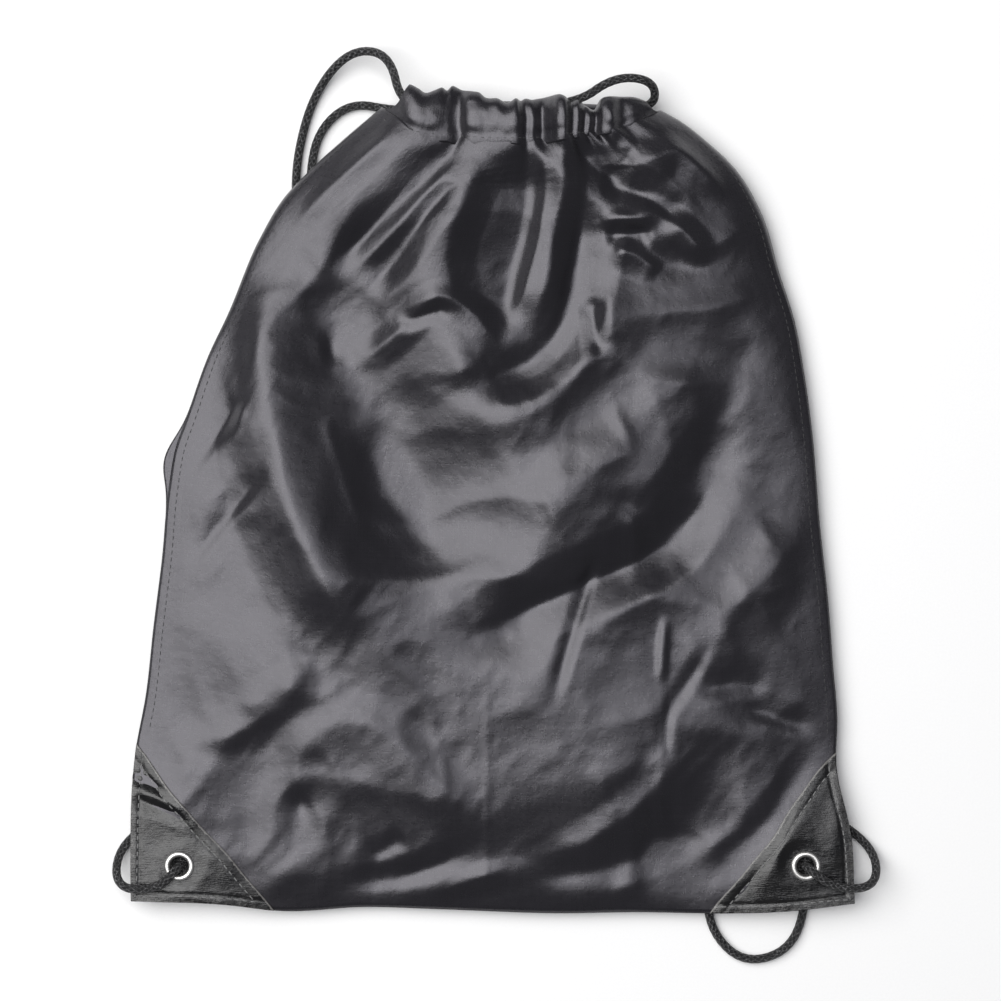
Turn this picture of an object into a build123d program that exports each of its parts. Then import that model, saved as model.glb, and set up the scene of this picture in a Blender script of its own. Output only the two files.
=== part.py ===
"""A drawstring backpack lying on its back with its mouth drawn closed.

X runs across the bag, Y runs from the bottom seam up to the gathered mouth, and Z is up from the surface it lies on.
Lengths are in millimetres. Heights up the bag are counted from the bottom seam and moved to the bag's centre on export.
"""

from build123d import *
import math
import os

# Driving dimensions of the sewn bag
bag_width = 339.5            # bottom corner to bottom corner
body_length = 366.0          # bottom seam to the lower edge of the drawstring casing
cloth = 0.8                  # thickness kept for each layer of nylon
patch_sheet = 0.8            # thickness of the leatherette corner patches
seam_height = 11.0           # plane where the front and the back are sewn together
crown = 19.0                 # how far the front bulges above the seam
crown_at_mouth = 17.0
seam_allowance = 8.0         # flat strip along the side seams and the bottom seam
patch_leg = 70.0             # the two straight sides of a corner patch
flat_corner = 46.0           # flat zone that carries the eyelet
trough_share = 0.15          # half width of the strip of the back that lies on the surface
shelf_share = 0.55           # where the back turns up over the cords
shelf_height = 5.4           # underside of the back above the cords
back_rise_at_mouth = 4.0     # underside of the back where it meets the casing
shelf_at_mouth = 7.0

# Drawstring casings: two hems gathered on the cords
casing_depth = 22.5
casing_height = 13.0
casing_wall = 0.8
casing_corner = 2.5
mouth_gap = 6.0              # free height of the mouth between the two casings
front_casing_left = -38.0
front_casing_right = 36.0
back_casing_left = -44.0
back_casing_right = 58.0

# Cord and its hardware
cord_diameter = 4.0
cord_clearance = 0.4         # from a cord to the casing that it lies in
outer_lane = 12.0            # cord line above the casing's lower edge, near the rim
inner_lane = 4.0             # cord line above the casing's lower edge, near the stitching
middle_lane = 7.5
joint_gap = 0.6              # end gap between a sliding piece of cord and a fixed one
eyelet_inset = 23.0          # eyelet centre from the side and from the bottom
eyelet_hole = 8.6
eyelet_wall = 0.5
eyelet_outer = 14.0
eyelet_roll = 1.2            # height of the rolled rim
barrel_clearance = 0.1
washer_height = 0.7
barrel_curl = 0.2            # how far the barrel stands out below the washer
knot_radius = 7.0
knot_clearance = 0.2         # between the knot and the barrel above it
knot_round = 3.2

# Stitching, drawn as one thread a row
thread = 0.3
thread_width = 0.6
side_thread_inset = 4.0
patch_side_inset = 4.5
patch_bottom_inset = 3.0
patch_slant_inset = 5.0
casing_thread_gap = 1.5
side_thread_end_gap = 12.0

half = bag_width / 2
bag_length = body_length + casing_depth
skin_top = seam_height + cloth
skin_bottom = seam_height - cloth
front_casing_floor = casing_height + mouth_gap
front_cord_z = front_casing_floor + casing_wall + cord_clearance + cord_diameter / 2
back_cord_z = casing_wall + cord_clearance + cord_diameter / 2
eyelet_x = half - eyelet_inset
barrel_foot = skin_bottom - patch_sheet - washer_height - barrel_curl
knot_height = barrel_foot - knot_clearance

# Stations up the bag: height, left and right edge as shares of the half width, flat flange, front crown,
# underside of the back at the shelf and in the trough
stations = [
    (0.0, 1.0, 1.0, flat_corner, 0.0, skin_bottom, skin_bottom),
    (seam_allowance, 1.0, 0.998, flat_corner, 0.0, skin_bottom, skin_bottom),
    (flat_corner, 0.996, 0.973, flat_corner, 0.58 * crown, shelf_height + 1.0, 0.0),
    (flat_corner * 2, 0.978, 0.953, seam_allowance, 0.9 * crown, shelf_height, 0.0),
    (0.41 * body_length, 0.932, 0.927, seam_allowance, crown, shelf_height, 0.0),
    (0.63 * body_length, 0.854, 0.882, seam_allowance, crown, shelf_height, 0.0),
    (0.79 * body_length, 0.715, 0.808, seam_allowance, crown, shelf_height, 0.0),
    (0.915 * body_length, 0.582, 0.725, seam_allowance, crown, shelf_height, 0.0),
    (body_length, 0.395, 0.568, seam_allowance, crown_at_mouth, shelf_at_mouth, back_rise_at_mouth),
]
crown_shoulder = 0.2         # the crown's control points, as a share of the free width
crown_fill = 0.75            # a cubic curve rises to three quarters of its control points


def crown_edge(y, left, right, z, rise):
    """The bulging line across the front at one station, from left to right."""
    reach = (right - left) * crown_shoulder
    top = z + rise / crown_fill
    return Bezier((left, y, z), (left + reach, y, top), (right - reach, y, top), (right, y, z))


def front_section(station, low, high):
    """Closed outline across the front cloth, between two offsets above the seam plane."""
    y, left_share, right_share, flange, rise, _, _ = station
    left, right = -half * left_share, half * right_share
    edges = []
    for z in (seam_height + low, seam_height + high):
        edges.append(Line((left, y, z), (left + flange, y, z)))
        edges.append(crown_edge(y, left + flange, right - flange, z, rise))
        edges.append(Line((right - flange, y, z), (right, y, z)))
    for x in (left, right):
        edges.append(Line((x, y, seam_height + low), (x, y, seam_height + high)))
    return Wire(edges)


def back_section(station, low, high):
    """Closed outline across the back cloth, between two offsets above its underside."""
    y, left_share, right_share, flange, _, shelf, trough = station
    left, right = -half * left_share, half * right_share
    line = [
        (left, skin_bottom),
        (left + flange, skin_bottom),
        (left * shelf_share, shelf),
        (left * trough_share, trough),
        (right * trough_share, trough),
        (right * shelf_share, shelf),
        (right - flange, skin_bottom),
        (right, skin_bottom),
    ]
    under = [(x, y, z + low) for x, z in line]
    over = [(x, y, z + high) for x, z in line]
    return Wire(Polyline(*under, *reversed(over), close=True).edges())


def cloth_shell(section, low, high):
    """The cloth between two offsets, laid through every station."""
    return Solid.make_loft([section(s, low, high) for s in stations], ruled=True)


def eyelet_places():
    """Both eyelet centres in plan."""
    return [(-eyelet_x, eyelet_inset), (eyelet_x, eyelet_inset)]


def eyelet_bore():
    """Everything that both eyelet barrels pass through."""
    radius = eyelet_hole / 2 + eyelet_wall + barrel_clearance
    tall = 4 * seam_height
    return [Pos(x, y, 0) * Cylinder(radius, tall) for x, y in eyelet_places()]


def corner_outline(side, inset_side=0.0, inset_bottom=0.0, inset_slant=0.0):
    """The corner triangle in plan, moved in from its sides, for side -1 (left) or 1 (right)."""
    slant = inset_slant * math.sqrt(2)
    x0 = half - inset_side
    y0 = inset_bottom
    reach = patch_leg - inset_side - inset_bottom - slant
    points = [(side * x0, y0), (side * (x0 - reach), y0), (side * x0, y0 + reach)]
    return make_face(Polyline(*points, close=True))


def tall_prism(face):
    """A plan outline carried up through the whole bag."""
    return extrude(face, amount=4 * seam_height)


def corner_patch(side, skin):
    """A leatherette triangle that follows the cloth under it."""
    patch = skin & tall_prism(corner_outline(side))
    for bore in eyelet_bore():
        patch -= bore
    return patch


def patch_thread(side, skin):
    """The row of stitching that runs round inside a corner patch."""
    outer = corner_outline(side, patch_side_inset, patch_bottom_inset, patch_slant_inset)
    inner = corner_outline(
        side,
        patch_side_inset + thread_width,
        patch_bottom_inset + thread_width,
        patch_slant_inset + thread_width,
    )
    return skin & (tall_prism(outer) - tall_prism(inner))


def edge_at(height, side):
    """Where the side seam lies at a height up the bag."""
    column = 1 if side < 0 else 2
    for low, high in zip(stations, stations[1:]):
        if low[0] <= height <= high[0]:
            share = (height - low[0]) / (high[0] - low[0])
            return side * half * (low[column] + share * (high[column] - low[column]))
    raise ValueError("height outside the bag")


def side_thread(side, skin):
    """The top stitching along a side seam, from the corner patch to the mouth."""
    heights = [patch_leg + side_thread_end_gap]
    heights += [s[0] for s in stations if patch_leg + 2 * side_thread_end_gap < s[0] < body_length]
    heights.append(body_length - side_thread_end_gap)
    outer = [(edge_at(y, side) - side * side_thread_inset, y) for y in heights]
    inner = [(x - side * thread_width, y) for x, y in outer]
    band = make_face(Polyline(*outer, *reversed(inner), close=True))
    return skin & tall_prism(band)


def casing(left, right, floor):
    """A hem drawn round the cords: a flat tube along X that is open at both ends."""
    y = body_length + casing_depth / 2
    plane = Plane(origin=(left, y, floor + casing_height / 2), x_dir=(0, 1, 0), z_dir=(1, 0, 0))
    outer = RectangleRounded(casing_depth, casing_height, casing_corner)
    bore_corner = casing_corner - casing_wall
    inner = RectangleRounded(casing_depth - 2 * casing_wall, casing_height - 2 * casing_wall, bore_corner)
    return extrude(plane * (outer - inner), amount=right - left)


def casing_thread(left, right, z):
    """The stitching that closes a casing, lying on its outer face."""
    y = body_length + casing_corner + casing_thread_gap
    length = right - left - 2 * casing_thread_gap
    return Pos((left + right) / 2, y, z) * Box(length, thread_width, thread)


def eyelet(x, y):
    """Barrel and rolled front rim, turned about the eyelet's own axis."""
    inner = eyelet_hole / 2
    barrel = inner + eyelet_wall
    outer = eyelet_outer / 2
    base = skin_top + patch_sheet
    foot = barrel_foot
    middle = (inner + outer) / 2
    profile = [
        Line((inner, 0, foot), (barrel, 0, foot)),
        Line((barrel, 0, foot), (barrel, 0, base)),
        Line((barrel, 0, base), (outer, 0, base)),
        ThreePointArc((outer, 0, base), (middle, 0, base + eyelet_roll), (inner, 0, base)),
        Line((inner, 0, base), (inner, 0, foot)),
    ]
    return Pos(x, y, 0) * revolve(make_face(profile), Axis.Z)


def eyelet_washer(x, y):
    """The ring that the barrel is curled over behind the corner."""
    top = skin_bottom - patch_sheet
    inner = eyelet_hole / 2 + eyelet_wall + barrel_clearance
    ring = Cylinder(eyelet_outer / 2, washer_height) - Cylinder(inner, washer_height)
    return Pos(x, y, top - washer_height / 2) * ring


def knot(x, y):
    """The knot that stops the cord behind the eyelet."""
    body = Cylinder(knot_radius, knot_height)
    return Pos(x, y, knot_height / 2) * fillet(body.edges(), knot_round)


def corner_radii(points):
    """The arc at each corner of a cord: 0.45 of its shorter run, over the tangent of half the turn."""
    vectors = [Vector(*p) for p in points]
    runs = [b - a for a, b in zip(vectors, vectors[1:])]
    radii = []
    for before, after in zip(runs, runs[1:]):
        turn = math.radians(before.get_angle(after))
        radii.append(0.45 * min(before.length, after.length) / math.tan(turn / 2))
    return radii


def cord_tube(name, points):
    """A plain tube along straight runs joined by tangent arcs."""
    radii = corner_radii(points)
    path = FilletPolyline(*points, radius=radii)
    line = Wire(path.edges())
    tube = sweep(Plane(origin=line @ 0, z_dir=line % 0) * Circle(cord_diameter / 2), path=line)
    expected = math.pi * cord_diameter**2 / 4 * line.length
    print(f"{name}: length {line.length:.1f}, radii {[round(r, 1) for r in radii]}, "
          f"volume {tube.volume:.1f} for {expected:.1f}")
    return tube


def straight_cord(left, right, y, z):
    """The piece of cord that lies straight inside a casing."""
    plane = Plane(origin=(left, y, z), z_dir=(1, 0, 0))
    return extrude(plane * Circle(cord_diameter / 2), amount=right - left)


# The lines of the cords inside the casings
left_y = body_length + outer_lane
right_front_y = body_length + inner_lane
right_back_y = body_length + middle_lane
low = cord_diameter / 2 + 0.05       # centre of a cord that lies on the surface
over = skin_top + patch_sheet + cord_diameter / 2 + 1.0    # centre of a cord that crosses a corner patch
rim = over + 1.2

# Cord routes, chosen by hand and counted from the bottom seam. Each cord is drawn out of the casings in two strands.
routes = {
    "left_cord_front_loop": [
        (-23, left_y, front_cord_z), (-42.5, left_y, front_cord_z), (-48, 403, 17), (-67, 406, 9),
        (-84, 387, low), (-92.5, 357, low), (-93, 331, low),
    ],
    "left_cord_front_strap": [
        (-93, 331 - joint_gap, low), (-94, 308, low), (-121, 284, low), (-122, 252, low),
        (-98, 226, low), (-99, 194, low), (-134, 170, low), (-141, 136, low),
        (-116, 110, low), (-121, 80, low), (-135, 57, low), (-156, 46, low),
        (-176.5, 31, low), (-176.5, 13, over + 0.2), (-157, 12, over + 0.1),
        (-eyelet_x, eyelet_inset, rim), (-eyelet_x, eyelet_inset, knot_height),
    ],
    "left_cord_back_loop": [
        (-26, left_y, back_cord_z), (-47, left_y, back_cord_z), (-67, 382, low + 0.2),
        (-82, 369, low), (-86.5, 348, low), (-84, 331, low),
    ],
    "left_cord_back_strap": [
        (-84, 331 - joint_gap, low), (-84, 307, low), (-110, 283, low), (-112, 253, low),
        (-88, 228, low), (-90, 193, low), (-123, 168, low), (-130, 138, low),
        (-105, 111, low), (-110, 80, low), (-126, 57, low), (-135, 37, low),
        (-eyelet_x + 3.25, eyelet_inset + 5.5, low + 1.5),
    ],
    "left_cord_bight": [
        (18, left_y, front_cord_z), (38, left_y, front_cord_z), (57, 392, 21), (76, 390, 19),
        (76, left_y, back_cord_z), (57, left_y, back_cord_z),
    ],
    "right_cord_front_loop": [
        (21, right_front_y, front_cord_z), (45, right_front_y, front_cord_z), (70, right_front_y, 19),
        (88, 372, 8), (94, 353, low), (94.5, 332.2, low),
    ],
    "right_cord_front_strap": [
        (94.5, 332.2 - joint_gap, low), (94, 314, low), (119, 289, low), (121, 257, low),
        (102, 231, low), (104, 197, low), (134, 171, low), (138, 137, low),
        (113, 110, low), (112, 82, low), (131, 58, low), (155, 48, low),
        (180, 31, low), (180, 13.5, over + 0.2), (160, 12.5, over + 0.1),
        (eyelet_x, eyelet_inset, rim), (eyelet_x, eyelet_inset, knot_height),
    ],
    "right_cord_back_loop": [
        (44, right_back_y, back_cord_z), (66, right_back_y, back_cord_z), (78, 355, low), (80, 333, low),
    ],
    "right_cord_back_strap": [
        (80, 333 - joint_gap, low), (81, 309, low), (104, 285, low), (106, 255, low),
        (88, 229, low), (90, 196, low), (120, 170, low), (124, 138, low),
        (99, 110, low), (97, 80, low), (118, 60, low), (120, 38, low),
        (102, 20, low), (101, -6, low), (117, -24, low), (139, -19, low),
        (148, 1, low), (eyelet_x, eyelet_inset - 5.5, low + 1.0),
    ],
    "right_cord_bight": [
        (-32, right_front_y, front_cord_z), (-52, right_front_y, front_cord_z),
        (-52, right_back_y, back_cord_z), (-32, right_back_y, back_cord_z),
    ],
}


def starts(name):
    """The first and the last point of a route."""
    return routes[name][0], routes[name][-1]


def casing_runs():
    """The straight pieces of cord in the casings, each from its loop to just short of its bight."""
    runs = {}
    for side, sign in (("left", 1), ("right", -1)):
        bight_front, bight_back = starts(side + "_cord_bight")
        for where, stop in (("front", bight_front), ("back", bight_back)):
            begin = starts(f"{side}_cord_{where}_loop")[0]
            ends = sorted((begin[0], stop[0] - sign * joint_gap))
            runs[f"{side}_cord_{where}_run"] = straight_cord(*ends, begin[1], begin[2])
    return runs


def build():
    """Every piece of the bag, by the name of its node."""
    sides = (("left", -1), ("right", 1))
    front = cloth_shell(front_section, 0.0, cloth)
    back = cloth_shell(back_section, 0.0, cloth)
    front_patch_skin = cloth_shell(front_section, cloth, cloth + patch_sheet)
    back_patch_skin = cloth_shell(back_section, -patch_sheet, 0.0)
    front_cloth_thread = cloth_shell(front_section, cloth, cloth + thread)
    front_patch_thread = cloth_shell(front_section, cloth + patch_sheet, cloth + patch_sheet + thread)
    back_patch_thread = cloth_shell(back_section, -patch_sheet - thread, -patch_sheet)
    for bore in eyelet_bore():
        front -= bore
        back -= bore
    pieces = {
        "front_panel": front,
        "back_panel": back,
        "front_casing": casing(front_casing_left, front_casing_right, front_casing_floor),
        "back_casing": casing(back_casing_left, back_casing_right, 0.0),
    }
    front_face = front_casing_floor + casing_height + thread / 2
    inner_face = casing_height + thread / 2
    pieces["front_casing_stitching"] = casing_thread(front_casing_left, front_casing_right, front_face)
    pieces["back_casing_stitching"] = casing_thread(back_casing_left, back_casing_right, inner_face)
    for side, sign in sides:
        pieces[side + "_front_patch"] = corner_patch(sign, front_patch_skin)
        pieces[side + "_back_patch"] = corner_patch(sign, back_patch_skin)
        pieces[side + "_front_patch_stitching"] = patch_thread(sign, front_patch_thread)
        pieces[side + "_back_patch_stitching"] = patch_thread(sign, back_patch_thread)
        pieces[side + "_seam_stitching"] = side_thread(sign, front_cloth_thread)
        x = sign * eyelet_x
        pieces[side + "_eyelet"] = eyelet(x, eyelet_inset)
        pieces[side + "_eyelet_washer"] = eyelet_washer(x, eyelet_inset)
        pieces[side + "_knot"] = knot(x, eyelet_inset)
    for name, points in routes.items():
        pieces[name] = cord_tube(name, points)
    pieces.update(casing_runs())
    return pieces


def save(pieces):
    """One STEP file for each piece, with the bag's centre on the origin."""
    os.makedirs("parts", exist_ok=True)
    for name, piece in pieces.items():
        export_step(Pos(0, -bag_length / 2, 0) * piece, os.path.join("parts", name + ".step"))


save(build())
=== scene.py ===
"""Looks of the drawstring backpack: gathered nylon, leatherette corners, nickel eyelets and braided cords.

The bag lies on its back. X is across it, Y runs up to the mouth and Z is up. Shapes are worked out in
millimetres, with Y counted from the bottom seam, and go into the frame in metres, centred on the bag.
"""

import bpy
import math
import numpy as np
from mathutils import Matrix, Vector


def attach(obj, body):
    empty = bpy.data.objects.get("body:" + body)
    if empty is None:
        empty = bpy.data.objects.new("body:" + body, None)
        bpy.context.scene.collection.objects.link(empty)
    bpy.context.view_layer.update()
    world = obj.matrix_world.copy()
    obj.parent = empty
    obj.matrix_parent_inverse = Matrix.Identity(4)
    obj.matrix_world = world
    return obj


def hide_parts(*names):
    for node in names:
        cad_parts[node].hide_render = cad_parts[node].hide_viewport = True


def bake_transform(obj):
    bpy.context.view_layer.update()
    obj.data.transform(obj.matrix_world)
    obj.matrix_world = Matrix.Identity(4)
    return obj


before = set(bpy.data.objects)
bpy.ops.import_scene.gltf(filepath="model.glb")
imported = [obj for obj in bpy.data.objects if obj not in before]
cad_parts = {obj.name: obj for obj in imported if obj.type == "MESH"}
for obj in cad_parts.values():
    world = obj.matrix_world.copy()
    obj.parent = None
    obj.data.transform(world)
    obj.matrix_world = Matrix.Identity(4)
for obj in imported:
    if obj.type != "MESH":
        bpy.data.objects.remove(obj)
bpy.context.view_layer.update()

MM = 0.001
BAG_LENGTH = 388.5  # bottom seam to the rim of the casing
TO_CENTRE = np.array([0.0, -BAG_LENGTH / 2, 0.0])
CORD = 4.0
OUTER_LANE, INNER_LANE, MIDDLE_LANE = 378.0, 370.0, 373.5  # cord lines inside the casings
FRONT_CORD_Z, BACK_CORD_Z = 22.2, 3.2
LOW = 2.05  # centre of a cord that lies on the surface
EYELET = (146.75, 23.0)  # eyelet centre, across and up
EYELET_HOLE_CUT = 5.3
PATCH_TOP = 12.6  # top of the leatherette under the eyelet's rim
CLOTH = 0.5  # nylon, with its coating and a little body
LEATHER = 0.8
WALL_GAP = 0.1  # air between a patch and the cloth under it
PATCH_RISE = LEATHER + WALL_GAP
CLOTH_WIDE, CLOTH_TALL = 340.0, 400.0  # flat size of a panel, bottom seam to casing stitch line
COLUMNS, ROWS = 218, 228  # grid of each panel


# ---- camera, lights and surface

def place_camera():
    """A camera straight above, with the bag filling its square frame."""
    data = bpy.data.cameras.new("camera")
    data.lens = 115.0
    data.sensor_width = 36.0
    data.clip_end = 20.0
    camera = bpy.data.objects.new("camera", data)
    camera.location = (0.0037, 0.0, 1.51)
    bpy.context.scene.collection.objects.link(camera)
    bpy.context.scene.camera = camera


def area_light(name, place, size, power, colour):
    """A soft box at place, facing the bag's centre."""
    data = bpy.data.lights.new(name, "AREA")
    data.shape = "RECTANGLE"
    data.size, data.size_y = size
    data.energy = power
    data.color = colour
    light = bpy.data.objects.new(name, data)
    light.location = place
    light.rotation_euler = (-Vector(place)).to_track_quat("-Z", "Y").to_euler()
    bpy.context.scene.collection.objects.link(light)


place_camera()


# ---- cords

ROUTES = {
    "left_cord_front": [
        (17, OUTER_LANE, FRONT_CORD_Z), (-23, OUTER_LANE, FRONT_CORD_Z), (-42.5, OUTER_LANE, FRONT_CORD_Z),
        (-48, 403, 17), (-67, 406, 9), (-84, 387, LOW), (-92.5, 357, LOW), (-93, 331, LOW),
        (-94, 308, LOW), (-121, 284, LOW), (-122, 252, LOW), (-98, 226, LOW), (-99, 194, LOW),
        (-134, 170, LOW), (-141, 136, LOW), (-116, 110, LOW), (-121, 80, LOW), (-135, 57, LOW),
        (-156, 46, LOW), (-176.5, 31, LOW), (-176.5, 13, 15.8), (-157, 12, 15.7),
        (-EYELET[0], EYELET[1], 16.8), (-EYELET[0], EYELET[1], 8.3),
    ],
    "left_cord_back": [
        (56, OUTER_LANE, BACK_CORD_Z), (-26, OUTER_LANE, BACK_CORD_Z), (-47, OUTER_LANE, BACK_CORD_Z),
        (-67, 382, LOW + 0.2), (-82, 369, LOW), (-86.5, 348, LOW), (-84, 331, LOW),
        (-84, 307, LOW), (-110, 283, LOW), (-112, 253, LOW), (-88, 228, LOW), (-90, 193, LOW),
        (-123, 168, LOW), (-130, 138, LOW), (-105, 111, LOW), (-110, 80, LOW), (-126, 57, LOW),
        (-135, 37, LOW), (-143.5, 28.5, LOW + 1.5),
    ],
    "left_cord_bight": [
        (18, OUTER_LANE, FRONT_CORD_Z), (38, OUTER_LANE, FRONT_CORD_Z), (57, 392, 21), (76, 390, 19),
        (76, OUTER_LANE, BACK_CORD_Z), (57, OUTER_LANE, BACK_CORD_Z),
    ],
    "right_cord_front": [
        (-31.4, INNER_LANE, FRONT_CORD_Z), (21, INNER_LANE, FRONT_CORD_Z), (45, INNER_LANE, FRONT_CORD_Z),
        (70, INNER_LANE, 19), (88, 372, 8), (94, 353, LOW), (94.5, 332.2, LOW), (94, 314, LOW),
        (119, 289, LOW), (121, 257, LOW), (102, 231, LOW), (104, 197, LOW), (134, 171, LOW),
        (138, 137, LOW), (113, 110, LOW), (112, 82, LOW), (131, 58, LOW), (155, 48, LOW),
        (180, 31, LOW), (180, 13.5, 15.8), (160, 12.5, 15.7),
        (EYELET[0], EYELET[1], 16.8), (EYELET[0], EYELET[1], 8.3),
    ],
    "right_cord_back": [
        (-31.4, MIDDLE_LANE, BACK_CORD_Z), (44, MIDDLE_LANE, BACK_CORD_Z), (66, MIDDLE_LANE, BACK_CORD_Z),
        (78, 355, LOW), (80, 333, LOW), (81, 309, LOW), (104, 285, LOW), (106, 255, LOW),
        (88, 229, LOW), (90, 196, LOW), (120, 170, LOW), (124, 138, LOW), (99, 110, LOW),
        (97, 80, LOW), (118, 60, LOW), (120, 38, LOW), (102, 20, LOW), (101, -6, LOW),
        (117, -24, LOW), (139, -19, LOW), (148, 1, LOW), (146.75, 17.5, LOW + 1.0),
    ],
    "right_cord_bight": [
        (-32, INNER_LANE, FRONT_CORD_Z), (-52, INNER_LANE, FRONT_CORD_Z),
        (-52, MIDDLE_LANE, BACK_CORD_Z), (-32, MIDDLE_LANE, BACK_CORD_Z),
    ],
}


def to_frame(points):
    """Millimetres from the bottom seam into metres in the frame."""
    return (np.asarray(points, float) + TO_CENTRE) * MM


def smooth_route(points):
    """Points along the NURBS line whose control points are the route, in metres."""
    data = bpy.data.curves.new("route", "CURVE")
    data.dimensions = "3D"
    data.resolution_u = 24
    spline = data.splines.new("NURBS")
    spline.points.add(len(points) - 1)
    for point, place in zip(spline.points, to_frame(points)):
        point.co = (*place, 1.0)
    spline.order_u = 3
    spline.use_endpoint_u = True
    curve = bpy.data.objects.new("route", data)
    line = bpy.data.meshes.new_from_object(curve)
    places = np.empty(len(line.vertices) * 3)
    line.vertices.foreach_get("co", places)
    bpy.data.objects.remove(curve)
    bpy.data.meshes.remove(line)
    return places.reshape(-1, 3)


def even_steps(line, step):
    """The same line with its points a fixed step apart, and the distance of each along it."""
    lengths = np.r_[0.0, np.cumsum(np.linalg.norm(np.diff(line, axis=0), axis=1))]
    count = max(int(lengths[-1] / step), 4) + 1
    along = np.linspace(0.0, lengths[-1], count)
    return np.stack([np.interp(along, lengths, line[:, k]) for k in range(3)], 1), along


def unit(vectors):
    """The same directions, each one long."""
    return vectors / np.linalg.norm(vectors, axis=1)[:, None]


def carried_frames(line):
    """Two directions square to the line at each of its points, carried along it without twist."""
    tangent = unit(np.gradient(line, axis=0))
    side = np.empty_like(line)
    guess = np.array([0.0, 0.0, 1.0]) if abs(tangent[0, 2]) < 0.9 else np.array([0.0, 1.0, 0.0])
    for i, t in enumerate(tangent):
        guess = guess - t * guess.dot(t)
        guess /= np.linalg.norm(guess)
        side[i] = guess
    return side, np.cross(tangent, side)


def grid_faces(rows, columns, wrap=False):
    """Four-cornered faces of a grid of rows by columns, closed round each row if wrap is set."""
    across = columns if wrap else columns - 1
    r, c = np.meshgrid(np.arange(rows - 1), np.arange(across), indexing="ij")
    right = (c + 1) % columns
    here, above = r * columns, (r + 1) * columns
    quads = np.stack([here + c, here + right, above + right, above + c], -1)
    return quads.reshape(-1, 4)


def new_mesh(name, places, faces, material, uv=None):
    """A smooth mesh object from arrays of places in metres, four-cornered faces, and a UV for each vertex."""
    data = bpy.data.meshes.new(name)
    data.vertices.add(len(places))
    data.vertices.foreach_set("co", np.asarray(places, np.float32).ravel())
    data.loops.add(faces.size)
    data.loops.foreach_set("vertex_index", faces.ravel().astype(np.int32))
    data.polygons.add(len(faces))
    data.polygons.foreach_set("loop_start", np.arange(0, faces.size, 4, dtype=np.int32))
    data.polygons.foreach_set("use_smooth", np.ones(len(faces), bool))
    if uv is not None:
        layer = data.uv_layers.new(name="UVMap")
        layer.data.foreach_set("uv", np.asarray(uv, np.float32)[faces.ravel()].ravel())
    data.update(calc_edges=True)
    data.validate()
    data.materials.append(material)
    piece = bpy.data.objects.new(name, data)
    bpy.context.scene.collection.objects.link(piece)
    return piece


AROUND = 36  # points round a cord
CORD_STEP = 0.55 * MM  # from ring to ring
BRAID_PITCH = 3.4 * MM
BRAID_STARTS = 12  # strands, half of them wound each way
BRAID_CORE, BRAID_RIB = 0.955, 0.055  # shares of the cord's radius
ROUND_END = 0.6  # length of a cord's rounded end over its radius
TIP = 1e-6  # keeps the last ring of a closed end from being a point


def braid_radius(along, angle, radius):
    """Radius of the braid's surface: two families of strands wound opposite ways, each a raised rib that goes
    over and under the other in turn."""
    turn = 2 * math.pi * along / BRAID_PITCH
    one = np.cos(BRAID_STARTS / 2 * angle + turn)
    other = np.cos(BRAID_STARTS / 2 * angle - turn)
    rib = np.maximum(one, other) * 0.5 + 0.5
    return radius * (BRAID_CORE + BRAID_RIB * rib)


def ring_places(line, side, up, angle, radius):
    """Places at that angle and radius round each point of a line, in the plane of its side and up
    directions."""
    across = (np.cos(angle) * radius)[..., None] * side[:, None]
    return line[:, None] + across + (np.sin(angle) * radius)[..., None] * up[:, None]


def braid_uv(angle, along):
    """A braid's UV: the share of the way round, and how many pitches along."""
    return np.stack([angle.ravel() / (2 * math.pi), along.ravel() / BRAID_PITCH], 1)


def cord_piece(name, line, radius):
    """A braided tube round a line, with rounded ends: rings of points square to the line, a fixed step
    apart. It also gives back the line's own places."""
    line, along = even_steps(line, CORD_STEP)
    side, up = carried_frames(line)
    angle, s = np.meshgrid(np.linspace(0, 2 * math.pi, AROUND, endpoint=False), along)
    from_end = np.clip(np.minimum(s, along[-1] - s) / (ROUND_END * radius), 0, 1)
    r = braid_radius(s, angle, radius) * np.sqrt(np.clip(1 - (1 - from_end) ** 2, TIP, 1))
    places = ring_places(line, side, up, angle, r)
    faces = grid_faces(len(line), AROUND, wrap=True)
    piece = new_mesh(name, places.reshape(-1, 3), faces, BRAID, braid_uv(angle, s))
    return piece, line[::4]


# ---- the bag's outline, in millimetres

LEFT_EDGE = [
    (-169.5, 6.5), (-169.7, 31), (-167.7, 77), (-163, 103), (-159.4, 135), (-155.4, 167), (-152.3, 200),
    (-149, 219), (-144, 233), (-133.5, 262.5), (-124.3, 282), (-109.6, 317), (-98.2, 336), (-87, 348),
    (-69.3, 364), (-52, 378.5),
]
RIGHT_EDGE = [
    (169.7, 5.4), (168.2, 36), (161.4, 70), (162, 92), (160, 117), (157.7, 147), (153.9, 182), (150, 228),
    (146.3, 255), (141.8, 279), (134.9, 300.7), (126.7, 328), (114.5, 349), (101, 362), (88, 372), (79, 377),
]
BOTTOM_EDGE = [
    (-169.5, 6.5), (-127, 4.9), (-98, 1.4), (-60, 3.2), (-26, 2.2), (31, 0.3), (68, 0.8), (99, 0.4),
    (136.7, 1.6), (169.7, 5.4),
]
STITCH_ROW = [
    (-52, 378.5), (-44, 373), (-37, 367), (-20, 364.5), (2, 362.5), (25, 363.5), (42, 365.5), (58, 368),
    (70, 372.5), (79, 377),
]
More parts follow.
